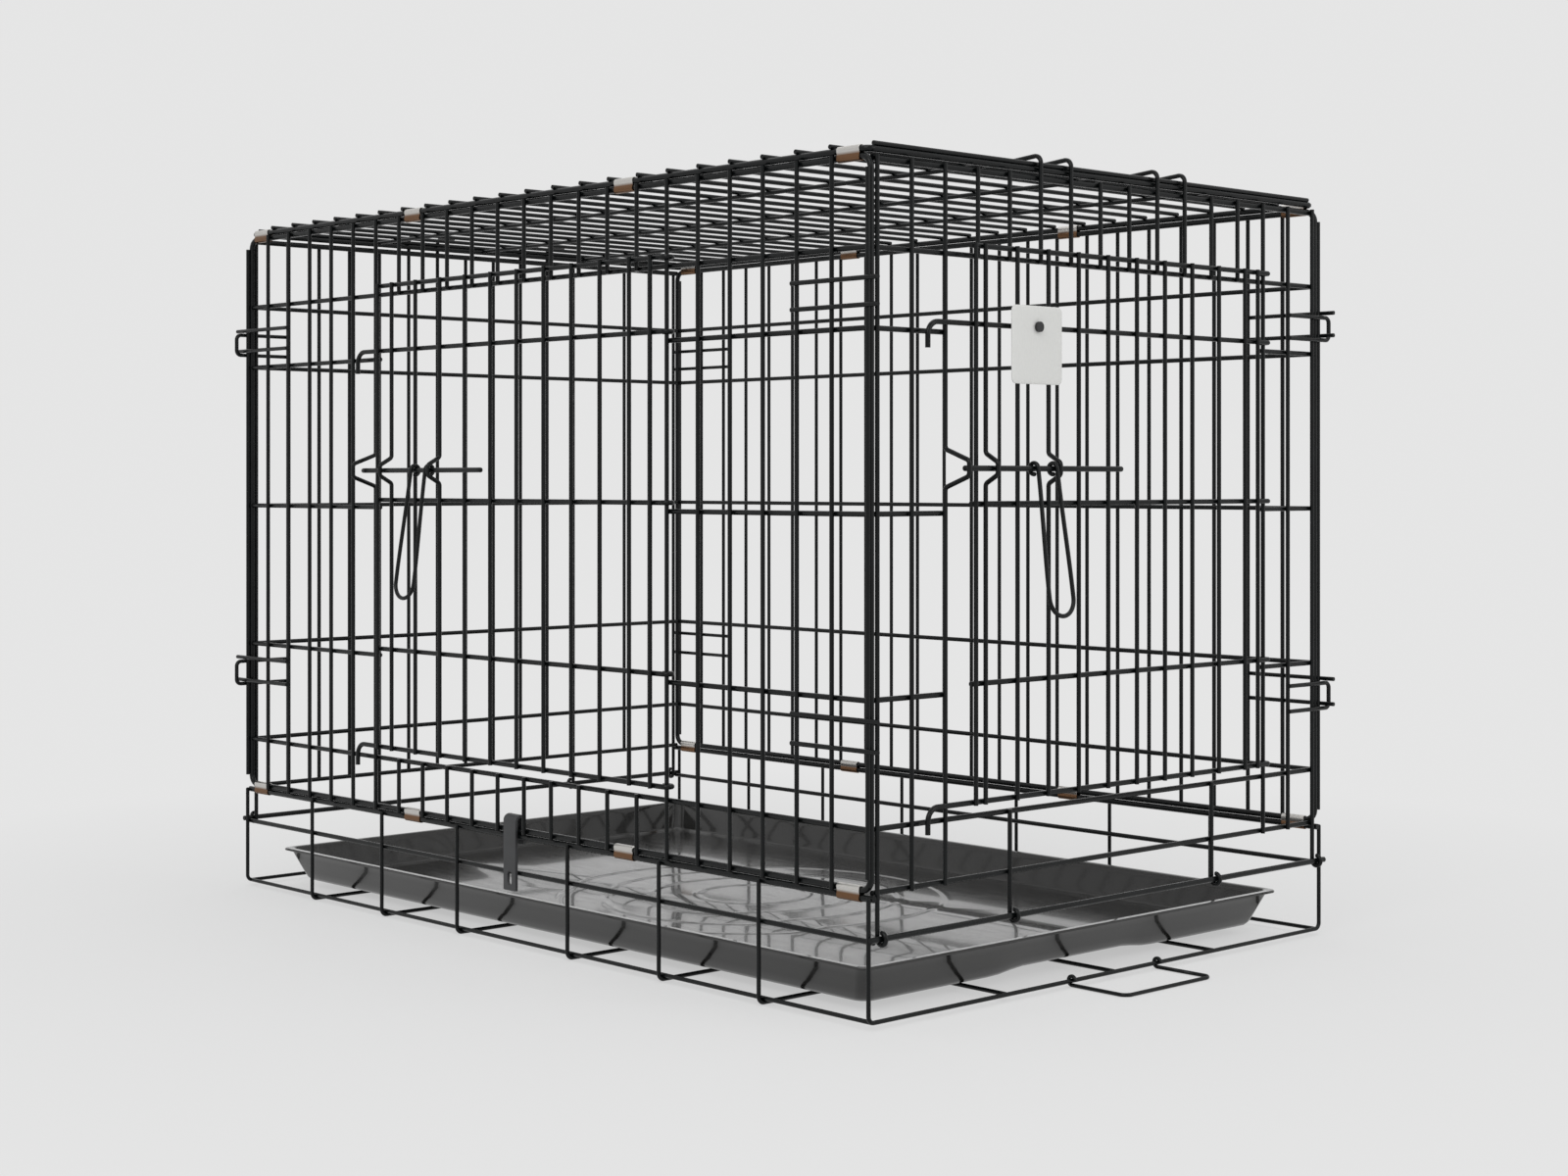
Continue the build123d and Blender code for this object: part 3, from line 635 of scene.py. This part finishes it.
class CRATE_OT_slide_bolts(bpy.types.Operator):
    """Makes the two sliding rods, with their softly domed tips"""

    bl_idname = "crate.slide_bolts"
    bl_label = "Make the slide bolts"

    def execute(self, context):
        settings = context.scene.crate_bolt
        coat = bpy.data.materials["wire_coat"]
        for door in DOORS:
            low, high = (np.array(corner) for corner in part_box(f"{door}_bolt_rod"))
            way, _ = bolt_axes(door)
            centre = (low + high) / 2
            radius = settings.rod_diameter / 2
            reach = abs((high - low) @ way) / 2 - radius * TIP_DOME
            share = np.linspace(-1, 1, 40)[:, None]
            rod = build_piece(f"{door}_slide_bolt", [tube(centre + way * reach * share, radius, 16)])
            finish_piece(rod, f"{door}_bolt", "black_wire", coat, f"{door}_bolt_rod")
        return {"FINISHED"}


def grip_path(door, settings):
    """The line of a grip: an eye round the rod, a leg, the round foot, the other leg and its eye.

    The half width of the loop goes from its top value w0 to w0 + belly as w0 + belly s s (3 - 2 s)
    over the drop share s, the foot is a half circle of that half width, and each eye is three
    quarters of a circle round the rod's axis.
    """
    low, high = (np.array(corner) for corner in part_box(f"{door}_bolt_grip"))
    rod_low, rod_high = (np.array(corner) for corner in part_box(f"{door}_bolt_rod"))
    way, out = bolt_axes(door)
    axis = (rod_low + rod_high) / 2
    middle = way * (((low + high) / 2) @ way)
    origin = middle + axis - way * (axis @ way)
    lean = settings.grip_lean
    up = np.array([0.0, 0.0, 1.0])
    rise = up * math.cos(lean) - out * math.sin(lean)
    back = -out * math.cos(lean) - up * math.sin(lean)
    radius = settings.grip_diameter / 2
    eye = (rod_high - rod_low)[2] / 2 + radius + EYE_CLEARANCE
    top_half = abs((high - low) @ way) / 2 - radius
    foot_half = top_half + settings.grip_belly
    drop = settings.grip_drop - foot_half
    share = np.linspace(0.0, 1.0, 34)
    leg_out = top_half + settings.grip_belly * share**2 * (3 - 2 * share)
    leg = origin - back * eye - rise * (share * drop)[:, None]
    near = leg - way * leg_out[:, None]
    far = leg + way * leg_out[:, None]
    foot_turn = np.linspace(0, math.pi, 22)[1:-1, None]
    foot = (
        origin
        - back * eye
        - rise * (drop + foot_half * np.sin(foot_turn))
        - way * foot_half * np.cos(foot_turn)
    )
    eye_turn = np.linspace(0, 1.5 * math.pi, 22)[1:, None]
    curl = origin - back * eye * np.cos(eye_turn) + rise * eye * np.sin(eye_turn)
    curl_near = (curl - way * top_half)[::-1]
    curl_far = curl + way * top_half
    return np.concatenate([curl_near, near, foot, far[::-1], curl_far]), way + back


class CRATE_OT_bolt_grips(bpy.types.Operator):
    """Makes the two hanging grips, each one wire bent into a long drop with an eye at both ends"""

    bl_idname = "crate.bolt_grips"
    bl_label = "Make the bolt grips"

    def execute(self, context):
        settings = context.scene.crate_bolt
        coat = bpy.data.materials["wire_coat"]
        for door in DOORS:
            path, helper = grip_path(door, settings)
            grip = build_piece(
                f"{door}_hanging_grip", [tube(path, settings.grip_diameter / 2, 14, helper=helper)]
            )
            finish_piece(grip, f"{door}_grip", "black_wire", coat, f"{door}_bolt_grip")
        return {"FINISHED"}


def tray_rows(settings):
    """Rows of the tray's surface, from the middle of the floor to the rim and back underneath.

    A row is a rounded rectangle pulled in from the rim by a distance d at a height z. The inner wall
    has d = flange + (top - z) tan(slope), an ease rounds its foot, and the underside is the same
    line moved out by the sheet's thickness. The floor goes from that outline to circles
    (R cos a, R sin a), and its rings lift it by h exp(-((R - Rk) / w)^2). A low arch along the
    middle, which clears the eyes of the gate, lifts the floor by r s s (3 - 2 s), where s falls from
    1 to 0 across the arch's edge, less and less up the wall.
    """
    low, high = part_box("tray")
    top, wall, flange = high.z, settings.wall, settings.flange
    lean = math.tan(settings.slope)
    floor = low.z + 0.0001 + wall
    bottom = floor - wall

    def outline(inset, height):
        corner = settings.rim_corner + 0.2 * min(inset, 0.018)
        flat = rounded_outline(high.x - inset, high.y - inset, corner)
        return np.concatenate([flat, np.full((len(flat), 1), height)], axis=1)

    def inner_inset(height):
        return flange + (top - height) * lean

    def outer_inset(height):
        return inner_inset(height) - wall / math.cos(settings.slope)

    # the foot of the inner wall, from the floor's edge up
    ease = settings.foot_ease
    wall_foot = inner_inset(floor + ease)
    floor_inset = wall_foot + 1.833 * ease
    turn = np.linspace(0, 1, 6)
    foot = [
        outline(floor_inset + (wall_foot - floor_inset) * (1 - (1 - t) ** 1.5), floor + ease * t**2)
        for t in turn
    ]

    # the floor, as circles with their rings, then a skirt out to its edge
    edge = outline(floor_inset, floor)
    angle = np.arctan2(edge[:, 1], edge[:, 0])
    circle = np.stack([np.cos(angle), np.sin(angle), np.zeros_like(angle)], axis=1)
    widest = high.y - floor_inset - 0.012
    near_ring = np.linspace(-1, 1, 9) * 2.417 * settings.ring_width
    radii = np.concatenate([np.linspace(0, 1, 7) * widest] + [ring + near_ring for ring in TRAY_RINGS_AT])
    radii = np.unique(radii[radii <= widest])
    rings = settings.ring_height * sum(
        np.exp(-(((radii - ring) / settings.ring_width) ** 2)) for ring in TRAY_RINGS_AT
    )
    up = np.array([0.0, 0.0, 1.0])
    middle = up * floor
    rows = [middle + circle * radius + up * rise for radius, rise in zip(radii, rings)]
    skirt = np.linspace(0, 1, 8)[1:-1]
    rows += [(middle + circle * widest) * (1 - share) + edge * share for share in skirt]
    rows += foot

    # up the inner wall, over the rim and down the outer wall
    rows += [outline(inner_inset(z), z) for z in np.linspace(floor + ease, top - 0.0012, 7)[1:]]
    rim = [
        (flange - 0.0001, top - 0.0003),
        (flange - 0.0006, top),
        (0.0006, top),
        (0.0001, top - 0.0005),
        (0.0, top - 0.6 * wall),
        (0.0002, top - wall + 0.0002),
        (0.0007, top - wall),
        (outer_inset(top - wall) - 0.0002, top - wall),
    ]
    rows += [outline(inset, z) for inset, z in rim]
    rows += [outline(outer_inset(z), z) for z in np.linspace(top - wall - 0.0006, bottom + 0.003, 5)]
    rows += [outline(outer_inset(bottom) + 0.0008, bottom + 0.0006)]

    # the underside, back to the middle
    outer = outline(outer_inset(bottom) + 0.003, bottom)
    ring = up * bottom + circle * widest
    rows += [outer + (ring - outer) * share for share in np.linspace(0, 1, 6)]
    rows += [up * bottom + circle * widest * share for share in np.linspace(1, 0, 6)[1:]]

    rows = np.stack(rows)
    share = np.clip((settings.arch_half + 0.034 - np.abs(rows[..., 1])) / 0.034, 0.0, 1.0)
    depth = np.clip((top - rows[..., 2]) / (top - floor), 0.0, 1.0)
    rows[..., 2] += settings.arch_rise * share**2 * (3 - 2 * share) * depth
    return rows


class CRATE_OT_tray(bpy.types.Operator):
    """Makes the moulded tray: rim, leaning walls and the floor with its rings"""

    bl_idname = "crate.tray"
    bl_label = "Make the tray"

    def execute(self, context):
        settings = context.scene.crate_tray
        tray = build_piece("moulded_tray", [grid_mesh(tray_rows(settings))])
        finish_piece(tray, "tray", "tray_plastic", tray_plastic(settings), "tray")
        return {"FINISHED"}


def clip_grid(centre, settings):
    """A clip round two wires: a rounded rectangle section with a waist, carried along X.

    The half depth is a - w exp(-(z / 1.3 mm)^2), so that the sheet nips in between the wires.
    The rows go along the outside, round the cut end, back along the inside and round the other end.
    """
    sheet = settings.clip_sheet
    half_length, half_depth, half_height = CLIP_HALF

    def loop(grow, x):
        flat = rounded_outline(half_depth + grow, half_height + grow, 0.0017 + grow, 8, 6)
        pull = settings.clip_waist * np.exp(-((flat[:, 1] / 0.0013) ** 2))
        depth = np.sign(flat[:, 0]) * np.maximum(np.abs(flat[:, 0]) - pull, 0.0)
        return np.stack([np.full(len(flat), x), depth, flat[:, 1]], axis=1)

    ends = np.linspace(-half_length, half_length, 9)
    rows = [loop(sheet * 0.98, x) for x in ends]
    rows += [loop(sheet * 0.6, half_length + 0.00015), loop(0.0002, half_length)]
    rows += [loop(0.0002, x) for x in ends[::-1]]
    rows += [loop(sheet * 0.6, -half_length - 0.00015), loop(sheet * 0.98, -half_length)]
    rows = np.stack(rows)
    # Painted light by height: low on a clip gives painted shade, and high gives a painted highlight.
    shade = (rows[..., 2] / half_height).reshape(-1) * 0.9 + 0.42
    return grid_mesh(rows + centre), shade


class CRATE_OT_clips(bpy.types.Operator):
    """Makes the sheet metal clips that hold the side panels to the base and to the roof"""

    bl_idname = "crate.clips"
    bl_label = "Make the clips"

    def execute(self, context):
        settings = context.scene.crate_fitting
        steel = clip_steel(settings)
        pitch = (CRATE_LENGTH - 2 * SIDE_BAR_INSET) / SIDE_BAR_BAYS
        for row in ("base", "roof"):
            low, high = (np.array(corner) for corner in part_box(f"{row}_clips"))
            end = high[0] - CLIP_HALF[0]
            inner = [pitch * (bay + 0.5) + SIDE_BAR_INSET - CRATE_LENGTH / 2 for bay in CLIP_BAYS]
            height = (low[2] + high[2]) / 2
            reach = high[1] - CLIP_HALF[1] - settings.clip_sheet
            places = [(x, side * reach, height) for x in (-end, end, *inner) for side in (-1, 1)]
            made = [clip_grid(np.array(place), settings) for place in places]
            clips = build_piece(
                f"{row}_sheet_clips", [grid for grid, _ in made], share=[shade for _, shade in made]
            )
            finish_piece(clips, "crate_body", "clip_metal", steel, f"{row}_clips")
        return {"FINISHED"}


def card_rows():
    """Rows of the card: rounded rectangles from the middle of its back round to that of its front.

    Each has an inset and a share of the half thickness, and a point at y is bowed back by
    b (y / w)^2.
    """
    low, high = (np.array(corner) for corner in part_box("card"))
    half = (high - low) / 2
    face = [(0.024, 1), (0.018, 1), (0.011, 1), (0.005, 1), (0.0012, 1), (0.0005, 0.85), (0.0001, 0.5)]
    profile = [(inset, -depth) for inset, depth in face] + [(0.0, 0)] + face[::-1]
    rows = []
    for inset, depth in profile:
        flat = rounded_outline(half[1] - inset, half[2] - inset, max(0.004 - inset, 0.0004), 8, 14)
        bow = CARD_BOW * (flat[:, 0] / half[1]) ** 2
        rows.append(np.stack([depth * (half[0] - CARD_BOW) - bow, *flat.T], axis=1))
    caps = [np.zeros_like(row) for row in (rows[0], rows[-1])]
    for cap, row in zip(caps, (rows[0], rows[-1])):
        cap[:, 0] = row[:, 0].mean()
    return np.stack([caps[0], *rows, caps[1]]) + (low + high) / 2


class CRATE_OT_card(bpy.types.Operator):
    """Makes the blank card on the front door, slightly bowed with softened edges"""

    bl_idname = "crate.card"
    bl_label = "Make the card"

    def execute(self, context):
        settings = context.scene.crate_fitting
        card = build_piece("blank_card", [grid_mesh(card_rows())])
        finish_piece(card, "front_door", "card_white", card_stock(settings), "card")
        return {"FINISHED"}


class CRATE_OT_strap_and_tie(bpy.types.Operator):
    """Gives the strap handle and the card tie their materials and soft moulded edges"""

    bl_idname = "crate.strap_and_tie"
    bl_label = "Finish the strap and the tie"

    def execute(self, context):
        settings = context.scene.crate_fitting
        finishes = {"carry_handle": strap_rubber(settings), "card_tie": tie_nylon()}
        for name, material in finishes.items():
            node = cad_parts[name]
            node.data.materials.clear()
            node.data.materials.append(material)
            bevel = node.modifiers.new("Soft edges", "BEVEL")
            bevel.width = 0.00045
            bevel.segments = 2
            bevel.limit_method = "ANGLE"
            bevel.angle_limit = math.radians(50)
        return {"FINISHED"}


def plain_rays(nodes, links):
    """1 for camera, glossy and transmitted rays, and 0 for the rest."""
    path = nodes.new("ShaderNodeLightPath")
    total = path.outputs["Is Camera Ray"]
    for name in ("Is Glossy Ray", "Is Transmission Ray"):
        add = nodes.new("ShaderNodeMath")
        add.operation = "ADD"
        add.use_clamp = True
        links.new(total, add.inputs[0])
        links.new(path.outputs[name], add.inputs[1])
        total = add.outputs[0]
    return total


def stage_material(settings):
    """Pale floor that fades into an even backdrop.

    Near the crate it is lit and keeps the shadow; the share of plain backdrop colour rises with the
    distance from the middle. Only camera, glossy and transmitted rays see the plain colour.
    """
    material = bpy.data.materials.new("pale_floor")
    material.use_nodes = True
    nodes, links = material.node_tree.nodes, material.node_tree.links
    nodes.clear()
    out = nodes.new("ShaderNodeOutputMaterial")
    lit = nodes.new("ShaderNodeBsdfDiffuse")
    lit.inputs["Color"].default_value = (*settings.backdrop, 1.0)
    plain = nodes.new("ShaderNodeEmission")
    plain.inputs["Color"].default_value = (*settings.backdrop, 1.0)
    place = nodes.new("ShaderNodeTexCoord")
    length = nodes.new("ShaderNodeVectorMath")
    length.operation = "LENGTH"
    links.new(place.outputs["Object"], length.inputs[0])
    fade = nodes.new("ShaderNodeMapRange")
    fade.inputs["From Min"].default_value = 0.35
    fade.inputs["From Max"].default_value = 0.95
    fade.inputs["To Min"].default_value = 0.62
    fade.inputs["To Max"].default_value = 1.0
    links.new(length.outputs["Value"], fade.inputs["Value"])
    share = nodes.new("ShaderNodeMath")
    share.operation = "MULTIPLY"
    links.new(plain_rays(nodes, links), share.inputs[0])
    links.new(fade.outputs["Result"], share.inputs[1])
    mix = nodes.new("ShaderNodeMixShader")
    links.new(share.outputs[0], mix.inputs["Fac"])
    links.new(lit.outputs[0], mix.inputs[1])
    links.new(plain.outputs[0], mix.inputs[2])
    links.new(mix.outputs[0], out.inputs["Surface"])
    return material


def studio_world(settings):
    """Even pale world: soft grey light, seen as the backdrop colour."""
    world = bpy.data.worlds.new("studio_world")
    bpy.context.scene.world = world
    world.use_nodes = True
    nodes, links = world.node_tree.nodes, world.node_tree.links
    nodes.clear()
    out = nodes.new("ShaderNodeOutputWorld")
    light = nodes.new("ShaderNodeBackground")
    light.inputs["Color"].default_value = (0.93, 0.94, 0.94, 1.0)
    light.inputs["Strength"].default_value = 0.55
    seen = nodes.new("ShaderNodeBackground")
    seen.inputs["Color"].default_value = (*settings.backdrop, 1.0)
    mix = nodes.new("ShaderNodeMixShader")
    links.new(plain_rays(nodes, links), mix.inputs["Fac"])
    links.new(light.outputs[0], mix.inputs[1])
    links.new(seen.outputs[0], mix.inputs[2])
    links.new(mix.outputs[0], out.inputs["Surface"])


def soft_lamp(name, place, power, size):
    """A square soft lamp at a place, turned towards the middle of the crate."""
    lamp = bpy.data.lights.new(name, "AREA")
    lamp.energy = power
    lamp.size = size
    holder = bpy.data.objects.new(name, lamp)
    bpy.context.scene.collection.objects.link(holder)
    away = np.array(place) - np.array([0.0, 0.0, 0.25])
    flat = math.hypot(away[0], away[1])
    holder.location = place
    holder.rotation_euler = (math.atan2(flat, away[2]), 0.0, math.atan2(away[0], -away[1]))


class CRATE_OT_stage(bpy.types.Operator):
    """Sets up the pale floor, the backdrop colour, the soft lamps and the camera"""

    bl_idname = "crate.stage"
    bl_label = "Set up the stage"

    def execute(self, context):
        settings = context.scene.crate_studio
        turn = np.linspace(0, 2 * math.pi, 64, endpoint=False)
        rings = np.array([14.0, 6.0, 2.5, 1.0, 0.4, 0.0])
        points = rings[:, None, None] * np.stack([np.cos(turn), np.sin(turn), 0 * turn], axis=-1)[None]
        floor = build_piece("stage_floor", [grid_mesh(points)])
        floor.data.materials.append(stage_material(settings))
        studio_world(settings)
        soft_lamp("key_lamp", (1.3, -2.4, 2.3), settings.lamp_power, 1.8)
        soft_lamp("fill_lamp", (2.6, 0.7, 1.5), settings.lamp_power * 0.55, 1.8)
        soft_lamp("top_lamp", (-0.3, 0.3, 2.9), settings.lamp_power * 0.6, 2.2)
        camera = bpy.data.cameras.new("photo_camera")
        camera.lens = settings.lens
        camera.sensor_width = 36.0
        camera.shift_y = -0.0684
        camera.clip_start = 0.05
        holder = bpy.data.objects.new("photo_camera", camera)
        context.scene.collection.objects.link(holder)
        holder.location = (1.4566, -1.3142, 0.344)
        holder.rotation_euler = (math.pi / 2, 0.0, math.atan2(0.7338, 0.6793))
        context.scene.camera = holder
        context.scene.view_settings.view_transform = "Standard"
        return {"FINISHED"}


STEPS = (
    CRATE_OT_wire_coat,
    CRATE_OT_base_wires,
    CRATE_OT_slide_bolts,
    CRATE_OT_bolt_grips,
    CRATE_OT_tray,
    CRATE_OT_clips,
    CRATE_OT_card,
    CRATE_OT_strap_and_tie,
    CRATE_OT_stage,
)

SETTINGS = {
    "crate_wire": CrateWireSettings,
    "crate_base": CrateBaseSettings,
    "crate_bolt": CrateBoltSettings,
    "crate_tray": CrateTraySettings,
    "crate_fitting": CrateFittingSettings,
    "crate_studio": CrateStudioSettings,
}


class CRATE_PT_panel(bpy.types.Panel):
    """Lists the steps and the settings of the crate"""

    bl_idname = "CRATE_PT_panel"
    bl_label = "Pet crate"
    bl_space_type = "VIEW_3D"
    bl_region_type = "UI"
    bl_category = "Crate"

    def draw(self, context):
        for step in STEPS:
            self.layout.operator(step.bl_idname)
        for name, group in SETTINGS.items():
            box = self.layout.box()
            for field in group.__annotations__:
                box.prop(getattr(context.scene, name), field)


def register():
    for group in SETTINGS.values():
        bpy.utils.register_class(group)
    for name, group in SETTINGS.items():
        setattr(bpy.types.Scene, name, bpy.props.PointerProperty(type=group))
    for step in STEPS:
        bpy.utils.register_class(step)
    bpy.utils.register_class(CRATE_PT_panel)


def unregister():
    bpy.utils.unregister_class(CRATE_PT_panel)
    for step in reversed(STEPS):
        bpy.utils.unregister_class(step)
    for name in SETTINGS:
        delattr(bpy.types.Scene, name)
    for group in reversed(list(SETTINGS.values())):
        bpy.utils.unregister_class(group)


def main():
    register()
    bpy.ops.crate.wire_coat()
    bpy.ops.crate.base_wires()
    bpy.ops.crate.slide_bolts()
    bpy.ops.crate.bolt_grips()
    bpy.ops.crate.tray()
    bpy.ops.crate.clips()
    bpy.ops.crate.card()
    bpy.ops.crate.strap_and_tie()
    bpy.ops.crate.stage()


if __name__ == "__main__":
    main()
